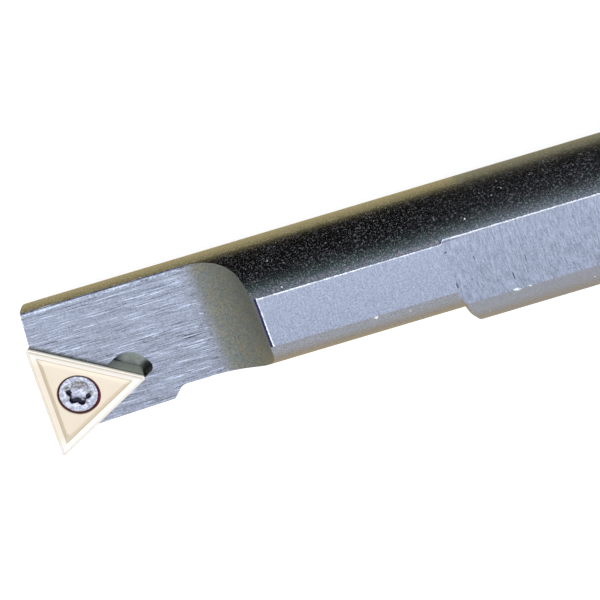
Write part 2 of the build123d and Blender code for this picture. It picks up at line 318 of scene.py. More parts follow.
class BarGraph(Graph):
    """The graph of the bar's steel, with the masks and the marks that its layers share.

    A mask is 1 on the place that it is named after and 0 elsewhere: the milled flats, the head's face,
    the curve where that face runs out into the neck, the rest, which was turned, what lies behind the
    shoulder, the side that faces away, the dust, its specks, and the pit at the pocket's inner corner.
    """

    def __init__(self, steel: "BarSteel") -> None:
        """Makes the shared nodes.

        Args:
            steel: The finish whose sizes they follow.
        """
        super().__init__("bar_steel")
        self.point = self.position()
        self.x, self.y, _ = self.parts(self.point)
        facing = self.facing()
        lean = self.dot(facing, PLANE.normal)
        across = self.math("ABSOLUTE", self.dot(facing, PLANE.across))
        self.flat = self.ramp(self.parts(facing)[2], 0.9945, 0.9965)
        self.behind = self.ramp(self.x, steel.shoulder_x + 0.1, steel.shoulder_x - 0.1)
        self.far_side = self.ramp(self.parts(facing)[1], 0.1, -0.2)
        head = self.ramp(self.x, steel.head_start_x - 1, steel.head_start_x + 2)
        self.face = self.both(self.ramp(lean, 0.965, 0.9985), head, self.less(1.0, self.flat))
        bend = self.both(self.ramp(across, 0.06, 0.03), self.ramp(lean, 0.9995, 0.962))
        begun = self.ramp(self.x, steel.run_out_x - 0.5, steel.run_out_x - 0.2)
        unfaded = self.ramp(self.x, steel.run_out_end_x, steel.run_out_end_x - 1.5)
        self.curve = self.both(bend, self.both(begun, unfaded), self.less(1.0, self.flat))
        self.turned = self.less(1.0, self.most(self.flat, self.face, self.curve))
        self.grain = self.noise(self.point, 9.0, detail=5.0, roughness=0.65)
        self.coarse = self.less(self.noise(self.point, 6.0, detail=2.0, roughness=0.6), 0.5)
        self.patches = self.ramp(self.noise(self.point, 1.3), 0.38, 0.62)
        fine = self.noise(self.point, 1.0, (0.3, 9.0, 9.0), roughness=0.7)
        self.streaks = self.both(self.less(self.ramp(fine, 0.3, 0.7), 0.5), self.face)
        self.dashes = self.both(self.cutter_arcs(steel), self.blend(self.behind, 0.4, 0.9), self.flat)
        cloud = self.ramp(self.noise(self.point, 5.5, roughness=0.65), 0.41, 0.78)
        self.dust = self.both(cloud, self.turned, self.far_side)
        self.specks = self.both(self.dust_specks(), self.turned)
        self.pit, self.pit_corner_shade = self.relief(steel)

    def cutter_arcs(self, steel: "BarSteel") -> Socket:
        """The short broken arcs that the cutter left on the flats.

        Args:
            steel: The finish.

        Returns:
            A value around 0.
        """
        side = self.less(self.y, steel.cutter_y)
        inner = self.less(steel.cutter_radius**2, self.both(side, side))
        along = self.less(self.x, self.math("SQRT", self.most(inner, 1.0)))
        place = self.node("CombineXYZ", {0: along, 1: self.y, 2: 0.0}).outputs[0]
        fine = self.noise(place, 1.0, (8.5, 1.4, 1.0), detail=2.0, roughness=0.6)
        coarse = self.noise(place, 1.0, (2.8, 0.6, 1.0), detail=2.0, roughness=0.6)
        return self.less(self.ramp(self.blend(0.35, fine, coarse), 0.36, 0.64), 0.5)

    def relief(self, steel: "BarSteel") -> tuple[Socket, Socket]:
        """The dull relief at the pocket's inner corner.

        Args:
            steel: The finish.

        Returns:
            Its mask, and its painted shade, which darkens it towards the corner.
        """
        away = self.vector("SUBTRACT", self.point, PLANE.origin)
        below = self.ramp(self.dot(away, PLANE.normal), -steel.face_depth - 0.1, -steel.face_depth - 0.2)
        apart = self.vector("SUBTRACT", self.point, steel.inner_corner)
        corner = self.length(self.vector("MULTIPLY", apart, (1.0, 1.0, 0.0)))
        inward = self.ramp(self.y, steel.inner_corner[1] + 1.3, steel.inner_corner[1] + 1.1)
        mask = self.both(below, inward, self.ramp(self.length(apart), 4.0, 3.4))
        # The second value is painted shade, darker towards the pocket's inner corner.
        return mask, self.ramp(corner, 0.45, 1.1, 0.1, 1.0)

    def dust_specks(self) -> Socket:
        """Pale specks of dust.

        Returns:
            Their mask.
        """
        cells = self.node("TexVoronoi", {"Vector": self.point, "Scale": 1.1})
        near = self.ramp(cells.outputs["Distance"], 0.06, 0.12, 1.0, 0.0)
        return self.both(near, self.ramp(self.parts(cells.outputs["Color"])[0], 0.88, 0.90))


@dataclass(frozen=True)
class BarSteel:
    """The bar's steel: ground round, milled flats, a scratched head face and a dull run-out, with painted
    light and shade on its flats, edges and pit.

    Attributes:
        shoulder_x: Where the full shank ends, in millimetres.
        flat_border_y: The far border of the shank's flat.
        neck_border_y: The far border of the neck's flat.
        cutter_radius: The radius of the arcs that the milling cutter left.
        cutter_y: Where the cutter's middle ran.
        head_start_x: Where the head's face begins.
        face_edge_y: The far edge of the head's face.
        face_depth: How far the head's face lies below the insert's top.
        front_x: Where the head's face ends in front, on the bar's axis.
        front_slant: How far that edge comes forward for each millimetre across.
        run_out_x: Where the neck's flat meets the run-out, on the bar's axis.
        run_out_slant: How far that edge falls back for each millimetre across.
        run_out_end_x: Where the run-out has faded into the head's face.
        edge_width: Where the painted highlight line on those edges ends, inward of them.
        edge_inset: Where that line starts.
        strip_far: How far the painted shadow strip along the run-out reaches past it, at its far end.
        strip_near: How far it reaches at its near end.
        strip_width: The strip's width.
        inner_corner: The insert's inner corner.
        dents: The dark dents on the flats: each one's middle and half its size, along and across.
    """

    shoulder_x: float
    flat_border_y: float
    neck_border_y: float
    cutter_radius: float = 34.0
    cutter_y: float = 0.5
    head_start_x: float = 127.0
    face_edge_y: float = -6.25
    face_depth: float = 0.53
    front_x: float = 152.084
    front_slant: float = 0.1436
    run_out_x: float = 130.101
    run_out_slant: float = 0.0295
    run_out_end_x: float = 137.4
    edge_width: float = 0.21
    edge_inset: float = 0.09
    strip_far: float = 0.42
    strip_near: float = 0.27
    strip_width: float = 0.21
    inner_corner: Triple = (142.644, 2.855, 0.584)
    dents: tuple[tuple[float, float, float, float], ...] = (
        (107.44, 1.9, 0.05, 0.42),
        (112.39, -1.95, 0.10, 0.09),
        (112.45, 1.25, 0.06, 0.30),
        (105.9, 0.6, 0.04, 0.30),
        (110.2, -0.7, 0.04, 0.22),
    )

    def make(self) -> bpy.types.Material:
        """Builds the material.

        Returns:
            The material.
        """
        g = BarGraph(self)
        metal = g.less(1.0, g.both(g.dust, g.dust, 0.34))
        metal = g.less(metal, g.both(g.specks, metal))
        metal = g.blend(g.pit, metal, 0.25)
        satin = g.ramp(g.x, self.shoulder_x + 6.0, self.shoulder_x - 10.0, 0.0, 0.1)
        ground = g.total(g.ramp(g.grain, 0.25, 0.75, 0.18, 0.28), satin)
        milled = g.ramp(g.grain, 0.25, 0.75, 0.26, 0.4)
        rough = g.blend(g.most(g.flat, g.face), ground, milled)
        rough = g.blend(g.curve, rough, 0.5)
        marks = g.total(g.dashes, g.streaks, g.both(g.grain, g.blend(g.turned, 0.5, 0.9)))
        normal = g.bump(marks, 0.012, 0.8)
        return g.surface(Base_Color=self.shade(g), Metallic=metal, Roughness=rough, Normal=normal)

    def shade(self, g: BarGraph) -> Socket:
        """The base colour, with the run-out, the painted highlight and shade along the edges, the dust, and
        the relief with its painted corner shade laid over the steel.

        Args:
            g: The graph.

        Returns:
            The colour.
        """
        dull = g.mix(g.patches, Tint.RUN_OUT_WARM, Tint.RUN_OUT_COOL)
        dull = g.scaled(dull, g.total(1.0, g.both(g.coarse, 1.5)))
        edge, outside, dark, beyond = self.border_light_and_shade(g)
        edge = g.both(edge, g.ramp(g.patches, 0.1, 0.6, 0.4, 1.0))
        dust_patches = g.ramp(g.noise(g.point, 2.6, detail=2.0), 0.44, 0.56)
        pale = g.mix(g.patches, Tint.RELIEF_DARK, Tint.RELIEF_PALE)
        return g.layers(
            g.scaled(Tint.STEEL, self.tone(g)),
            (g.both(g.curve, 0.8), dull),
            # Painted shade along the flats' far borders, outside the painted highlight.
            (g.both(outside, g.flat), Tint.PAINTED_BORDER_SHADE),
            # Painted shadow along the run-out's edge, with the run-out's painted shade carried onto the flat
            # beside it.
            (g.both(dark, g.flat), g.mix(beyond, Tint.PAINTED_RUN_OUT_SHADOW, Tint.PAINTED_RUN_OUT_SHADE)),
            # Painted highlight along the flats' far borders and the run-out's edge.
            (g.both(edge, g.flat), Tint.PAINTED_EDGE_HIGHLIGHT),
            (g.both(g.dust, 0.5), g.mix(dust_patches, Tint.DUST_WARM, Tint.DUST_COOL)),
            (g.specks, Tint.SPECK),
            # The pit's own colour, darkened towards the inner corner by painted shade.
            (g.pit, g.scaled(pale, g.pit_corner_shade)),
        )

    def tone(self, g: BarGraph) -> Socket:
        """How bright the bare steel is against its own colour, with painted light and shade across the flats,
        the head's face and its far edge, and beside the neck's flat.

        Args:
            g: The graph.

        Returns:
            A factor around 1.
        """
        # Painted light: the flats and the head's face brighter towards the far side; the shank's flat darker
        # than the neck's.
        flat_painted_light = g.both(g.ramp(g.y, -4.0, 3.5, 1.06, 0.94), g.blend(g.behind, 0.93, 0.865))
        face_painted_light = g.ramp(g.y, -6.0, 4.0, 1.1, 0.98)
        mottle = g.blend(g.most(g.face, g.curve), g.blend(g.behind, 1.15, 0.7), 1.2)
        scores, furrows = self.scratches(g)
        tone = g.total(
            g.blend(g.flat, g.blend(g.face, 1.0, face_painted_light), flat_painted_light),
            g.both(g.dashes, 0.4),
            g.both(g.streaks, 0.5),
            g.both(scores, g.face, 0.85),
            g.both(furrows, g.face, -0.5),
            # Painted highlight and shade along the head face's far edge.
            g.both(self.face_edge_light_and_shade(g), g.face),
            g.both(self.worn_front(g), g.face, 0.9),
            g.both(g.coarse, mottle),
            g.both(g.less(g.grain, 0.5), 0.5),
            g.dust,
        )
        # Painted shade on the round beside the neck flat's far border.
        near_border = g.both(g.turned, g.less(1.0, g.behind), g.far_side)
        border_painted_shade = g.ramp(g.y, self.neck_border_y - 0.62, self.neck_border_y - 0.1, 1.0, 0.5)
        dented = g.less(1.0, g.both(self.scars(g), g.flat, 0.75))
        return g.both(tone, g.blend(near_border, 1.0, border_painted_shade), dented)

    def border_light_and_shade(self, g: BarGraph) -> tuple[Socket, ...]:
        """Painted highlight and shade along the flats' far borders and along the run-out.

        Args:
            g: The graph.

        Returns:
            The painted highlight line, the painted shade strip outside it, the painted shadow strip along the
            run-out, and what is left between that strip and the run-out itself, which gets the run-out's
            painted shade.
        """
        ragged = g.both(g.less(g.grain, 0.5), 0.3)
        shoulder = self.shoulder_x
        border = g.ramp(g.x, shoulder, shoulder - 0.35, self.neck_border_y, self.flat_border_y)
        inside = g.total(g.less(g.y, border), ragged)
        end = g.less(self.run_out_x, g.both(g.y, self.run_out_slant))
        before = g.total(g.less(end, g.x), ragged)
        far, near = self.neck_border_y, -self.neck_border_y - 1.0
        past = g.less(before, g.ramp(g.y, far, near, self.strip_far, self.strip_near))
        clear = g.ramp(past, -0.02, 0.02)
        inner, outer = self.edge_width, self.edge_inset
        along = g.both(g.ramp(inside, inner, inner - 0.04), g.ramp(inside, outer - 0.02, outer + 0.02))
        across = g.both(g.ramp(past, 0.13, 0.09), clear)
        bright = g.most(g.both(along, clear), across)
        dark = g.both(g.ramp(past, 0.02, -0.02), g.ramp(before, -0.3, -0.2))
        beyond = g.both(g.ramp(past, -self.strip_width + 0.02, -self.strip_width - 0.02), dark)
        return bright, g.ramp(inside, outer, outer - 0.03), dark, beyond

    def scratches(self, g: BarGraph) -> tuple[Socket, Socket]:
        """The long grinding scratches on the head's face.

        Args:
            g: The graph.

        Returns:
            The masks of the bright scores and of the dark furrows.
        """
        score = g.noise(g.point, 1.0, (0.26, 7.2, 7.2), detail=2.0, roughness=0.7)
        other = g.vector("ADD", g.point, (31.0, 17.0, 5.0))
        furrow = g.noise(other, 1.0, (0.28, 7.6, 7.6), detail=2.0, roughness=0.7)
        return g.ramp(score, 0.60, 0.64), g.ramp(furrow, 0.60, 0.64)

    def face_edge_light_and_shade(self, g: BarGraph) -> Socket:
        """Painted shade along the far edge of the head's face, with a painted highlight line and a painted
        shade line inside it.

        Args:
            g: The graph.

        Returns:
            What they add to the tone.
        """
        border = g.band(g.y, self.face_edge_y + 0.04, 0.14, 0.07)
        bright = g.band(g.y, self.face_edge_y + 0.31, 0.15, 0.06)
        dark = g.band(g.y, self.face_edge_y + 0.63, 0.08, 0.08)
        bright = g.both(bright, g.ramp(g.coarse, -0.05, 0.1, 0.1, 0.6))
        return g.less(bright, g.both(dark, 0.3), g.both(border, 0.75))

    def worn_front(self, g: BarGraph) -> Socket:
        """The worn front edge of the head's face.

        Args:
            g: The graph.

        Returns:
            The mask of where it is bright.
        """
        front = g.less(g.total(self.front_x, g.both(g.y, self.front_slant)), g.x)
        front = g.total(front, g.both(g.coarse, 0.3))
        return g.both(g.ramp(front, 0.13, 0.08), g.ramp(g.coarse, -0.08, 0.08))

    def scars(self, g: BarGraph) -> Socket:
        """The dark dents on the flats.

        Args:
            g: The graph.

        Returns:
            Their mask.
        """
        total = 0.0
        for x, y, half_x, half_y in self.dents:
            dx = g.math("DIVIDE", g.less(g.x, x), half_x)
            dy = g.math("DIVIDE", g.less(g.y, y), half_y)
            away = g.total(g.both(dx, dx), g.both(dy, dy))
            total = g.total(total, g.ramp(away, 0.6, 1.2, 1.0, 0.0))
        return g.math("MINIMUM", total, 1.0)


@dataclass(frozen=True)
class CoatedCarbide:
    """The insert's pale gold coating, with a dark red ring in the screw's seat, and painted light and shade
    on the land, the groove and the inner flank.

    Attributes:
        inradius: The insert's inscribed circle's radius, in millimetres.
        seat_radius: The radius of the countersink's rim.
        lean_deg: How far the insert is turned about the screw.
        lip: How far the raised centre's lip lies inside the edge.
    """

    inradius: float
    seat_radius: float
    lean_deg: float
    lip: float = 0.70

    def sides(self) -> list[Vector]:
        """The outward directions of the inner, the front and the outer side."""
        turns = [math.radians(240 - self.lean_deg + 120 * k) for k in range(3)]
        return [Vector((math.cos(turn), 0.0, 0.0)) + PLANE.across * math.sin(turn) for turn in turns]

    def make(self) -> bpy.types.Material:
        """Builds the material.

        Returns:
            The material.
        """
        g = Graph("coated_carbide")
        point = g.position()
        grain = g.noise(point, 8.0, detail=4.0)
        cloud = g.ramp(g.noise(point, 0.9, detail=2.0), 0.35, 0.65, 0.0, 0.3)
        away = g.vector("SUBTRACT", point, PLANE.origin)
        height = g.dot(away, PLANE.normal)
        radius = g.length(g.vector("CROSS_PRODUCT", away, PLANE.normal))
        reach = [g.dot(away, out) for out in self.sides()]
        inset = g.less(self.inradius, g.most(*reach))
        rim = g.ramp(inset, self.lip, self.lip - 0.1, 0.0, 0.75)
        # Painted highlight: the land lighter towards the inner and the outer side.
        land = g.mix(g.ramp(reach[0], 1.6, 2.4), Tint.LAND, Tint.LAND_INNER_HIGHLIGHT)
        land = g.mix(g.ramp(reach[2], 1.6, 2.4), land, Tint.LAND_OUTER_HIGHLIGHT)
        # Painted highlight on the groove's slope along the inner side.
        slope = g.both(g.ramp(reach[0], 2.35, 2.5), g.ramp(inset, 0.26, 0.36), g.ramp(inset, 0.70, 0.64))
        hidden = g.ramp(g.dot(g.facing(), self.sides()[0]), 0.7, 0.85)
        # Painted light and shade on the inner flank: a painted highlight up top, painted shade lower down,
        # greyer at the foot.
        low = g.ramp(height, -0.24, -0.40)
        flank_light_and_shade = g.mix(low, Tint.FLANK_HIGHLIGHT, Tint.FLANK_SHADE)
        flank_light_and_shade = g.mix(g.ramp(height, -0.55, -0.62), flank_light_and_shade, Tint.FLANK_FOOT)
        rearward = g.ramp(g.dot(away, (-1.0, 0.0, 0.0)), 0.5, 1.8, 0.0, 0.10)
        seat = g.ramp(g.less(radius, rearward), self.seat_radius + 0.02, self.seat_radius - 0.04)
        colour = g.layers(
            g.mix(grain, Tint.GOLD_DEEP, Tint.GOLD_LIGHT),
            (cloud, Tint.GOLD_CLOUD),
            (rim, land),
            # Painted shade along the lip and along the land's inner edge.
            (g.band(inset, self.lip, 0.05, 0.05), Tint.GOLD_CREASE_SHADE),
            (g.both(g.band(inset, 0.18, 0.03, 0.04), 0.5), Tint.GOLD_CREASE_SHADE),
            (slope, Tint.GROOVE_SLOPE_HIGHLIGHT),
            (hidden, flank_light_and_shade),
            (seat, g.mix(g.ramp(rearward, 0.0, 0.10), Tint.SEAT_RING_FRONT, Tint.SEAT_RING_REAR)),
        )
        metal = g.blend(slope, g.blend(hidden, 0.75, g.blend(low, 0.0, 0.35)), 0.25)
        metal = g.blend(seat, metal, 0.1)
        rough = g.ramp(grain, 0.2, 0.8, 0.3, 0.42)
        normal = g.bump(grain, 0.006, 0.6)
        return g.surface(Base_Color=colour, Metallic=metal, Roughness=rough, Normal=normal)


@dataclass(frozen=True)
class ScrewSteel:
    """The screw's satin steel, with painted shade on the socket's walls."""

    def make(self) -> bpy.types.Material:
        """Builds the material.

        Returns:
            The material.
        """
        g = Graph("screw_steel")
        point = g.position()
        grain = g.noise(point, 3.4, detail=4.0, roughness=0.6)
        colour = g.mix(g.ramp(grain, 0.4, 0.64), Tint.SCREW_DARK, Tint.SCREW_LIGHT)
        depth = g.dot(g.vector("SUBTRACT", point, PLANE.origin), PLANE.normal)
        upright = g.ramp(g.dot(g.facing(), PLANE.normal), 0.7, 0.4)
        # Painted shade on the socket's walls.
        socket_shade = g.both(upright, g.ramp(depth, -0.14, -0.2), g.ramp(depth, -1.1, -1.0))
        colour = g.mix(socket_shade, colour, Tint.SOCKET_WALL_SHADE)
        rough = g.ramp(grain, 0.2, 0.8, 0.14, 0.3)
        return g.surface(Base_Color=colour, Metallic=1.0, Roughness=rough, Normal=g.bump(grain, 0.012))


@dataclass(frozen=True)
class BurrSteel:
    """The bright raw steel of a burr."""

    def make(self) -> bpy.types.Material:
        """Builds the material.

        Returns:
            The material.
        """
        g = Graph("burr_steel")
        grain = g.noise(g.position(), 3.0, detail=4.0, roughness=0.7)
        colour = g.mix(g.ramp(grain, 0.35, 0.6), Tint.BURR_DARK, Tint.BURR_LIGHT)
        return g.surface(Base_Color=colour, Metallic=1.0, Roughness=0.35)


def add_object(name: str, data: bpy.types.ID) -> bpy.types.Object:
    """Puts an object in the scene.

    Args:
        name: Its name.
        data: Its mesh, light or camera.

    Returns:
        The object.
    """
    made = bpy.data.objects.new(name, data)
    bpy.context.scene.collection.objects.link(made)
    return made


def add_sheet(name: str, corners: list[Vector], material: bpy.types.Material) -> bpy.types.Object:
    """Puts a four-cornered sheet in the scene.

    Args:
        name: Its name.
        corners: Its corners in order, in metres.
        material: Its material.

    Returns:
        The sheet.
    """
    mesh = bpy.data.meshes.new(name)
    mesh.from_pydata(corners, [], [(0, 1, 2, 3)])
    mesh.materials.append(material)
    return add_object(name, mesh)


def skin(name: str, loops: list[list[Vector]], place: Matrix, ring: bool = False, fans: bool = False,
         sharp_deg: float = 32.0) -> bpy.types.Object:
    """Joins loops of points into one smooth skin.

    Args:
        name: The piece's name.
        loops: Loops with the same number of points, in order.
        place: From the loops' own millimetres to the row frame.
        ring: Whether the last loop joins the first.
        fans: Whether the first and last loops are closed over.
        sharp_deg: The bend from which an edge stays sharp.

    Returns:
        The piece.
    """
    count = len(loops[0])
    verts = [place @ point for loop in loops for point in loop]
    faces = []
    for row in range(len(loops) if ring else len(loops) - 1):
        here, there = row * count, (row + 1) % len(loops) * count
        for k in range(count):
            after = (k + 1) % count
            faces.append((here + k, here + after, there + after, there + k))
    if fans:
        faces.append(tuple(range(count))[::-1])
        faces.append(tuple((len(loops) - 1) * count + k for k in range(count)))
    mesh = bpy.data.meshes.new(name)
    mesh.from_pydata(verts, [], faces)
    shell = bmesh.new()
    shell.from_mesh(mesh)
    bmesh.ops.recalc_face_normals(shell, faces=shell.faces)
    shell.to_mesh(mesh)
    shell.free()
    mesh.shade_smooth()
    mesh.set_sharp_from_angle(angle=math.radians(sharp_deg))
    return add_object(name, mesh)


def dress(piece: bpy.types.Object, material: bpy.types.Material, body: Body) -> None:
    """Gives a piece its material and body.

    Args:
        piece: The piece.
        material: Its material.
        body: The body that it rides on.
    """
    piece.data.materials.append(material)
    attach(piece, body.value)
    LOG.info("built %s with %d faces", piece.name, len(piece.data.polygons))


@dataclass
class Insert:
    """The triangular insert, in its own millimetres: the top face is at height 0.

    Attributes:
        inradius: The inscribed circle's radius.
        thickness: The insert's thickness.
        relief_deg: How far the sides lean in.
        lean_deg: How far the triangle is turned about the screw.
        nose: The corners' radius.
        foot_nose: The corners' radius at the bottom.
        hone: The radius that breaks the cutting edge.
        chamfer: The bevel round the bottom.
        groove_depth: The chip groove's depth.
        hole_radius: The screw hole's radius.
        seat_radius: The countersink's rim.
        corner_steps: Points on each corner.
        side_steps: Points on each side.
    """

    inradius: float = 3.175
    thickness: float = 2.38
    relief_deg: float = 7.0
    lean_deg: float = 2.5
    nose: float = 0.2
    foot_nose: float = 0.1
    hone: float = 0.03
    chamfer: float = 0.05
    groove_depth: float = 0.11
    hole_radius: float = 1.4
    seat_radius: float = 1.9
    corner_steps: int = 8
    side_steps: int = 26

    def triangle(self, inset: float, corner: float, height: float) -> list[Vector]:
        """A rounded triangle.

        Args:
            inset: How far inside the full outline it lies.
            corner: Its corners' radius.
            height: Its height.

        Returns:
            Its points.
        """
        reach = 2 * (self.inradius - inset - corner)
        arcs = []
        for angle in (math.radians(60 - self.lean_deg + 120 * k) for k in range(3)):
            centre = Vector((math.cos(angle), math.sin(angle), 0.0)) * reach
            arc = []
            for step in range(self.corner_steps + 1):
                turn = angle + math.radians(120 * step / self.corner_steps - 60)
                arc.append(centre + Vector((math.cos(turn), math.sin(turn), 0.0)) * corner)
            arcs.append(arc)
        points = []
        for arc, following in zip(arcs, arcs[1:] + arcs[:1]):
            points += arc
            run = following[0] - arc[-1]
            points += [arc[-1] + run * (step / self.side_steps) for step in range(1, self.side_steps)]
        for point in points:
            point.z = height
        return points

    def circle(self, radius: float, height: float) -> list[Vector]:
        """A circle whose points lie in line with the triangles'."""
        ways = [point.normalized() for point in self.triangle(1.0, 0.8, 0.0)]
        return [way * radius + Vector((0, 0, height)) for way in ways]

    def groove(self) -> list[Triple]:
        """The chip groove's triangles, from the edge's land in to the middle's rim.

        Returns:
            Each one's inset, corner radius and height.
        """
        steps = (
            (0.03, 0.0, 0.17), (0.13, 0.0, 0.12), (0.17, 0.06, 0.1), (0.58, 0.86, 0.08), (0.64, 0.98, 0.1),
            (0.70, 1.0, 0.12), (0.76, 0.94, 0.15), (0.94, 0.16, 0.22), (1.0, 0.02, 0.25), (1.06, 0.0, 0.25),
        )
        return [(inset, corner, -self.groove_depth * drop) for inset, drop, corner in steps]

    def build(self) -> None:
        """Makes and dresses the insert."""
        lean = math.tan(math.radians(self.relief_deg))
        chamfer, hone, nose, foot_nose = self.chamfer, self.hone, self.nose, self.foot_nose
        hole, seat, floor = self.hole_radius, self.seat_radius, -self.thickness
        cone = (seat - hole) / math.tan(SEAT_HALF_ANGLE)
        bore = ((hole, floor + chamfer), (hole + chamfer, floor))
        flanks = (
            (-floor * lean + chamfer, foot_nose, floor),
            ((-floor - chamfer) * lean, foot_nose, floor + chamfer),
            (hone * lean, nose, -hone),
            (hone * 0.3, nose * 0.95, -hone * 0.3),
        )
        sink = ((seat + 0.03, 0.0), (seat, -0.03), (hole + 0.02, -cone), (hole, -cone - 0.06))
        loops = [self.circle(*row) for row in bore]
        loops += [self.triangle(*row) for row in (*flanks, *self.groove())]
        loops += [self.circle(*row) for row in sink]
        piece = skin("carbide_insert", loops, PLANE.place(), ring=True)
        coating = CoatedCarbide(self.inradius, self.seat_radius, self.lean_deg)
        dress(piece, coating.make(), Body.INSERT)
        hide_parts("insert")


@dataclass
class Thread:
    """A right-handed ridge wound about the screw's axis.

    Attributes:
        name: The piece's name.
        root: The radius where the ridge grows from.
        crest: The radius that it reaches.
        low: The height that it starts at.
        high: The height that it ends at.
        phase_deg: Where round the axis it would cross height 0.
        pitch: Its rise in a turn.
        steps: Points a turn.
    """

    name: str
    root: float
    crest: float
    low: float
    high: float
    phase_deg: float = 0.0
    pitch: float = 0.45
    steps: int = 32

    def build(self) -> bpy.types.Object:
        """Winds the ridge.

        Returns:
            The piece, without a material.
        """
        foot, tip = self.pitch * 0.46, self.pitch * 0.08
        turns = (self.high - self.low - 2 * foot) / self.pitch
        total = round(turns * self.steps)
        loops = []
        for step in range(total + 1):
            height = self.low + foot + self.pitch * step / self.steps
            turn = math.radians(self.phase_deg) + 2 * math.pi * height / self.pitch
            fade = min(1.0, step / self.steps * 2, (total - step) / self.steps * 2)
            crest = self.root + (self.crest - self.root) * fade
            out = Vector((math.cos(turn), math.sin(turn), 0.0))
            shape = ((self.root, -foot), (crest, -tip), (crest, tip), (self.root, foot))
            loops.append([out * radius + Vector((0, 0, height + rise)) for radius, rise in shape])
        return skin(self.name, loops, PLANE.place(), fans=True)


@dataclass
class Screw:
    """The countersunk screw with a six-lobe socket, in the insert's own millimetres.

    Attributes:
        head_height: The head's top.
        head_radius: The head's radius.
        rim: The head's straight rim.
        shank_radius: The thread's outer radius.
        core_radius: The thread's inner radius.
        tip_height: The screw's lower end.
        lobe_radius: The socket's radius at its lobes.
        waist_radius: Its radius between them.
        socket_depth: Its depth.
        socket_turn_deg: How far it is turned.
        steps: Points round the screw.
    """

    head_height: float = -0.0998
    head_radius: float = 1.75
    rim: float = 0.14
    shank_radius: float = 1.25
    core_radius: float = 1.0
    tip_height: float = -5.58
    lobe_radius: float = 1.1
    waist_radius: float = 0.8
    socket_depth: float = 0.9
    socket_turn_deg: float = 32.0
    steps: int = 120

    def circle(self, radius: float, height: float) -> list[Vector]:
        """A circle about the screw's axis."""
        turns = [2 * math.pi * step / self.steps for step in range(self.steps)]
        return [Vector((math.cos(turn) * radius, math.sin(turn) * radius, height)) for turn in turns]

    def lobes(self, scale: float, height: float) -> list[Vector]:
        """The socket's outline.

        Args:
            scale: Its size, with 1 for the full size.
            height: Its height.

        Returns:
            Its points.
        """
        points = self.circle(1.0, height)
        for step, point in enumerate(points):
            turn = 2 * math.pi * step / self.steps - math.radians(self.socket_turn_deg)
            wave = (0.5 + 0.5 * math.cos(6 * turn)) ** 0.8
            radius = scale * (self.waist_radius + (self.lobe_radius - self.waist_radius) * wave)
            point.x *= radius
            point.y *= radius
        return points

    def build(self) -> None:
        """Makes and dresses the screw and its thread."""
        top, socket = self.head_height, self.head_height - self.socket_depth
        wide, shank, core = self.head_radius, self.shank_radius, self.core_radius
        neck = top - self.rim - (wide - shank) / math.tan(SEAT_HALF_ANGLE)
        base = ((0.02, socket - 0.12), (0.5, socket - 0.02))
        walls = ((0.9, socket), (0.96, socket + 0.05), (1.0, top - 0.07), (1.03, top - 0.015), (1.07, top))
        outside = (
            (wide - 0.2, top), (wide - 0.06, top - 0.012), (wide, top - 0.06), (wide, top - self.rim),
            (shank + 0.03, neck + 0.05), (shank, neck), (shank, neck - 0.25),
            (core, neck - 0.45), (core, self.tip_height + 0.3), (core - 0.25, self.tip_height),
        )
        loops = [self.circle(*row) for row in base]
        loops += [self.lobes(*row) for row in walls]
        loops += [self.circle(*row) for row in outside]
        ridge = Thread("insert_screw_thread", root=core - 0.02, crest=shank - 0.005,
                       low=self.tip_height + 0.12, high=neck - 0.1)
        head = skin("insert_screw_head", loops, PLANE.place(), fans=True)
        steel = ScrewSteel().make()
        dress(head, steel, Body.SCREW)
        dress(ridge.build(), steel, Body.SCREW)
        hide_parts("insert_screw")


@dataclass
class Burr:
    """A ragged bright bead that milling left along an edge.

    Attributes:
        name: The piece's name.
        start: Its first point, in millimetres.
        end: Its last point.
        seed: What its raggedness is drawn from.
        width: Its usual width.
        gaps: The share of its length where it has broken off.
        rise: Its height against its width.
        spacing: The spacing of its ribs.
        ceiling: The highest that it may stand.
        sides: Points on each rib.
    """

    name: str
    start: Triple
    end: Triple
    seed: int
    width: float
    gaps: float = 0.0
    rise: float = 0.3
    spacing: float = 0.12
    ceiling: float = 5.66
    sides: int = 6

    def rib(self, centre: Vector, side: Vector, size: float) -> list[Vector]:
        """The bead's outline at one place.

        Args:
            centre: Its middle.
            side: The unit vector across the bead.
            size: Half its width.

        Returns:
            Its points.
        """
        points = []
        for k in range(self.sides):
            turn = 2 * math.pi * k / self.sides
            rise = min(self.ceiling - centre.z, math.sin(turn) * size * self.rise)
            points.append(centre + side * math.cos(turn) * size + Vector((0, 0, rise)))
        return points

    def build(self, steel: bpy.types.Material) -> None:
        """Makes and dresses the bead.

        Args:
            steel: Its material.
        """
        draw = random.Random(self.seed)
        start, end = Vector(self.start), Vector(self.end)
        run = end - start
        side = run.normalized().cross(Vector((0, 0, 1))).normalized()
        count = max(8, round(run.length / self.spacing))
        loops, thick = [], 1.0
        for index in range(count + 1):
            thick = 0.6 * thick + 0.4 * draw.uniform(0.5, 1.5)
            size = self.width / 2 * thick * (0.25 if draw.random() < self.gaps else 1.0)
            size *= min(1.0, index / 3 + 0.1, (count - index) / 3 + 0.1)
            centre = start + run * (index / count) + side * draw.uniform(-0.2, 0.2) * self.width
            loops.append(self.rib(centre, side, size))
        bead = skin(self.name, loops, Matrix.Scale(MM, 4), fans=True, sharp_deg=60)
        dress(bead, steel, Body.BAR)


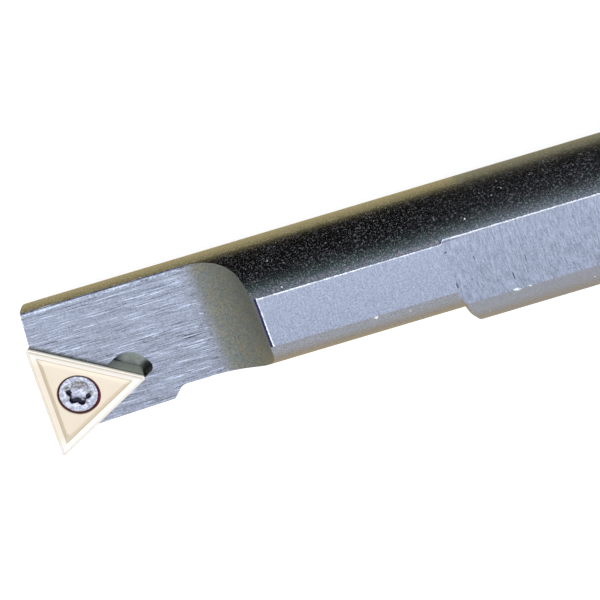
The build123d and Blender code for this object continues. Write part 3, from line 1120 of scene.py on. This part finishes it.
@dataclass
class Bar:
    """The bar as packed, with its burrs, its nicks and the thread in its tapped hole.

    Attributes:
        shoulder_x: Where the full shank ends, in millimetres.
        flat_rear_x: Where the shank's flat begins.
        flat_border_y: The far border of the shank's flat.
        flat_z: The height of the shank's flat.
        neck_front_x: Where the neck's flat ends in front.
        neck_border_y: The far border of the neck's flat.
        neck_near_y: The near border of the neck's flat.
        neck_z: The height of the neck's flat.
        step_length: How long the slope between the two flats is.
        burr_inset: How far the burrs lie inside the borders.
        burr_drop: How far the neck's burrs are sunk.
    """

    shoulder_x: float = 112.6
    flat_rear_x: float = 1.0
    flat_border_y: float = -3.191
    flat_z: float = 5.49
    neck_front_x: float = 130.15
    neck_border_y: float = -2.879
    neck_near_y: float = 1.827
    neck_z: float = 5.66
    step_length: float = 2.5
    burr_inset: float = 0.17
    burr_drop: float = 0.015

    def build(self) -> None:
        """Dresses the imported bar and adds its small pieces."""
        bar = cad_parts["bar"]
        steel = BarSteel(self.shoulder_x, self.flat_border_y, self.neck_border_y).make()
        bar.material_slots[0].material = steel
        LOG.info("dressed %s", bar.name)
        bright = BurrSteel().make()
        for burr in (*self.burrs(), *self.nicks()):
            burr.build(bright)
        self.blend_step(steel)
        ridge = Thread("tapped_thread", root=1.285, crest=1.06, low=-5.98, high=-2.62, phase_deg=180.0)
        dress(ridge.build(), steel, Body.BAR)

    def burrs(self) -> list[Burr]:
        """The ragged burrs along the flats' far borders and along the run-out.

        Returns:
            The burrs.
        """
        step, front = self.shoulder_x, self.neck_front_x
        far, neck_far = self.flat_border_y + self.burr_inset, self.neck_border_y + self.burr_inset
        high, low = self.flat_z, self.neck_z - self.burr_drop
        return [
            Burr("flat_burr", (step - 0.6, far, high), (self.flat_rear_x, far, high), 3, 0.11, gaps=0.08),
            Burr("neck_burr", (front - 0.5, neck_far, low), (step - 0.1, neck_far, low), 5, 0.11, gaps=0.3),
            Burr("ramp_burr", (front - 0.44, neck_far, low), (front - 0.30, self.neck_near_y, low), 7, 0.09,
                 gaps=0.25),
        ]

    def nicks(self) -> list[Burr]:
        """The bright nicks along the flats' near borders.

        Returns:
            The nicks.
        """
        neck, high, low = self.neck_z - 0.06, self.flat_z - 0.01, self.flat_z - 0.02
        return [
            Burr("neck_nick", (120.55, 1.88, neck), (119.95, 1.95, neck), 11, 0.36),
            Burr("shank_nick", (108.0, 3.15, high), (107.15, 3.2, low), 13, 0.34),
            Burr("shank_chip", (106.6, 3.16, high), (106.15, 3.2, low), 17, 0.16),
        ]

    def blend_step(self, steel: bpy.types.Material) -> None:
        """Fills the low step between the two flats with a long shallow slope.

        Args:
            steel: The bar's material.
        """
        low, high = self.flat_z - 0.02, self.neck_z - 0.002
        front, back = self.shoulder_x, self.shoulder_x - self.step_length
        slope = []
        for y in (self.flat_border_y + 0.33, -self.flat_border_y - 0.8):
            slope.append([Vector(p) for p in ((back, y, low), (front, y, high), (front, y, low - 0.1))])
        piece = skin("flat_step", slope, Matrix.Scale(MM, 4), fans=True, sharp_deg=1.0)
        dress(piece, steel, Body.BAR)


@dataclass(frozen=True)
class ViewCamera:
    """A long-lens camera that looks down on the head of the bar.

    Attributes:
        aim: The point at the frame's centre, in millimetres.
        lean_deg: How far the view leans to the blind side of the bar.
        swing_deg: How far it swings towards the shank.
        roll_deg: How far the bar climbs across the frame.
        frame_width: The width of the view at the aim, in millimetres.
        distance: From the camera to the aim, in millimetres.
        sensor: The sensor's width, in millimetres.
    """

    aim: Triple = (127.44, 0.224, 0.0)
    lean_deg: float = 17.75
    swing_deg: float = 13.0
    roll_deg: float = 16.56
    frame_width: float = 52.4
    distance: float = 2000.0
    sensor: float = 36.0

    def build(self) -> None:
        """Makes the camera and sets it as the scene's."""
        lean, swing, roll = (math.radians(a) for a in (self.lean_deg, self.swing_deg, self.roll_deg))
        sway = math.sin(swing)
        along = Vector((-math.cos(swing), sway * math.sin(lean), -sway * math.cos(lean)))
        down = Vector((0.0, math.cos(lean), math.sin(lean)))
        right = along * math.cos(roll) + down * math.sin(roll)
        up = along * math.sin(roll) - down * math.cos(roll)
        back = right.cross(up)
        data = bpy.data.cameras.new("view")
        data.sensor_width = self.sensor
        data.lens = self.sensor * self.distance / self.frame_width
        data.clip_start = self.distance * MM / 10
        data.clip_end = self.distance * MM * 10
        camera = add_object("view", data)
        turn = Matrix((right, up, back)).transposed().to_4x4()
        place = (Vector(self.aim) + back * self.distance) * MM
        camera.matrix_world = Matrix.Translation(place) @ turn
        bpy.context.scene.camera = camera


@dataclass(frozen=True)
class Card:
    """A flat studio card that only reflections see.

    Attributes:
        name: The card's name.
        low: Its lowest corner, in millimetres.
        high: Its highest corner; one axis matches low's.
        colour: The light it gives, at its low end where it fades.
        far_colour: The light at its high end, or none where it is even.
        fade_axis: The axis that it fades along.
    """

    name: str
    low: Triple
    high: Triple
    colour: Triple
    far_colour: Triple | None = None
    fade_axis: int = 2

    def corners(self) -> list[Vector]:
        """The card's corners.

        Returns:
            The four corners in order, in metres.
        """
        low, high = Vector(self.low) * MM, Vector(self.high) * MM
        flat = min(range(3), key=lambda axis: high[axis] - low[axis])
        first, second = [axis for axis in range(3) if axis != flat]
        corners = []
        for a, b in ((low, low), (high, low), (high, high), (low, high)):
            corner = low.copy()
            corner[first], corner[second] = a[first], b[second]
            corners.append(corner)
        return corners

    def build(self) -> None:
        """Makes the card, which is stage and not part of the object."""
        g = Graph(self.name)
        shade = self.colour
        if self.far_colour is not None:
            place = g.parts(g.position())[self.fade_axis]
            part = g.ramp(place, self.low[self.fade_axis], self.high[self.fade_axis])
            shade = g.mix(part, self.colour, self.far_colour)
        g.end(g.node("Emission", {"Color": shade, "Strength": 1.0}))
        card = add_sheet(self.name, self.corners(), g.owner)
        card.visible_camera = card.visible_diffuse = card.visible_shadow = False
        card.visible_transmission = card.visible_volume_scatter = False
        card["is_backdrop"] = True


@dataclass(frozen=True)
class Studio:
    """A pale floor, one overhead softbox and cards that shape the steel's reflections.

    Attributes:
        floor_z: The floor's height, in millimetres.
        centre_x: Where the softbox hangs along the bar.
        light_height: How high it hangs.
        light_angle_deg: The half-angle that it fills, seen from the bar.
        light_level: Its brightness as the bar sees it.
        light_colour: Its colour.
        room_level: The room's light on matt surfaces.
        floor_size: The floor's width.
        white: The room's colour.
        floor_colour: The floor's own colour.
        floor_lift: The floor's own glow, which keeps it white.
        card_lift: How far the mats lie above the floor.
    """

    floor_z: float
    centre_x: float = 127.0
    light_height: float = 1200.0
    light_angle_deg: float = 41.0
    light_level: float = 1.0
    light_colour: Triple = (0.89, 1.0, 1.27)
    room_level: float = 0.7
    floor_size: float = 8000.0
    white: Triple = (1.0, 1.0, 1.0)
    floor_colour: Triple = (0.45, 0.45, 0.45)
    floor_lift: float = 0.78
    card_lift: float = 0.05

    def build(self) -> None:
        """Sets up the whole studio."""
        self.room()
        self.softbox()
        self.floor()
        self.cards()

    def room(self) -> None:
        """Makes the world: white where it is seen, and dim on matt surfaces."""
        g = Graph("room", TreeKind.WORLD)
        level = g.blend(g.seen(), self.room_level, 1.0)
        g.end(g.node("Background", {"Color": self.white, "Strength": level}))
        bpy.context.scene.world = g.owner

    def softbox(self) -> None:
        """Hangs the round softbox over the bar."""
        radius = self.light_height * math.tan(math.radians(self.light_angle_deg)) * MM
        data = bpy.data.lights.new("softbox", "AREA")
        data.shape = "DISK"
        data.size = 2 * radius
        data.energy = self.light_level * math.pi * math.pi * radius**2
        data.color = self.light_colour
        lamp = add_object("softbox", data)
        lamp.location = (self.centre_x * MM, 0.0, self.light_height * MM)
        lamp.visible_camera = False

    def floor(self) -> None:
        """Lays the pale floor."""
        g = Graph("floor")
        matt = g.node("BsdfDiffuse", {"Color": self.floor_colour}).outputs[0]
        glow = g.node("Emission", {"Strength": g.both(g.seen(), self.floor_lift)}).outputs[0]
        g.end(g.node("AddShader", {0: matt, 1: glow}))
        half = self.floor_size / 2
        signs = ((-1, -1), (1, -1), (1, 1), (-1, 1))
        corners = [Vector((a * half, b * half, self.floor_z)) * MM for a, b in signs]
        floor = add_sheet("floor", corners, g.owner)
        floor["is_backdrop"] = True

    def cards(self) -> None:
        """Sets the cards round the bar."""
        floor_z, mat_z = self.floor_z, self.floor_z + self.card_lift
        rear, left, right = -1500, -400, 1300
        bar_rear, neck, ahead = -20, 112, 157.0
        back, far, rim, near, near_end, front = -1000, -14.0, -8.5, 11.0, 42.0, 1500.0
        black, pale, dull = (0.009, 0.0075, 0.006), (0.79, 0.79, 0.81), (0.40, 0.365, 0.215)
        for card in (
            Card("lamp_back", (-2000, -2000, 1250), (2300, 2000, 1250), (0.3, 0.3, 0.3)),
            Card("dark_wall", (rear, back, floor_z), (right, back, 300), black),
            Card("tall_wall", (rear, back, 300), (right, back, 1150), black, (0.075, 0.13, 0.105)),
            Card("dark_mat", (left, back, mat_z), (right, far, mat_z), black),
            Card("rim_mat", (neck, far, mat_z), (ahead, rim, mat_z), black, (0.56, 0.47, 0.225), 1),
            Card("shank_rim_mat", (bar_rear, far, mat_z), (neck, rim, mat_z), black, dull, 1),
            Card("under_mat", (neck, rim, mat_z), (ahead, near, mat_z), (0.56, 0.465, 0.235)),
            Card("shank_under_mat", (bar_rear, rim, mat_z), (neck, near, mat_z), dull),
            Card("near_mat", (left, near, mat_z), (ahead, near_end, mat_z), (0.60, 0.49, 0.34),
                 (0.76, 0.75, 0.75), 1),
            Card("pale_mat", (rear, near_end, mat_z), (right, front, mat_z), pale),
            Card("pale_wall", (rear, front, floor_z), (right, front, 1300), pale),
            Card("olive_mat", (ahead, far, mat_z), (right, near_end, mat_z), (0.34, 0.345, 0.32)),
            Card("olive_wall", (right, back, floor_z), (right, front, 1400), (0.39, 0.39, 0.355),
                 (0.62, 0.62, 0.60)),
        ):
            card.build()


def main() -> None:
    """Builds the studio and dresses every piece."""
    logging.basicConfig(level=logging.INFO, format="%(name)s: %(message)s")
    cad_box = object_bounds()
    scene = bpy.context.scene
    scene.view_settings.view_transform = "Standard"
    ViewCamera().build()
    Studio(cad_box[0].z / MM).build()
    Bar().build()
    Insert().build()
    Screw().build()


if __name__ == "__main__":
    main()
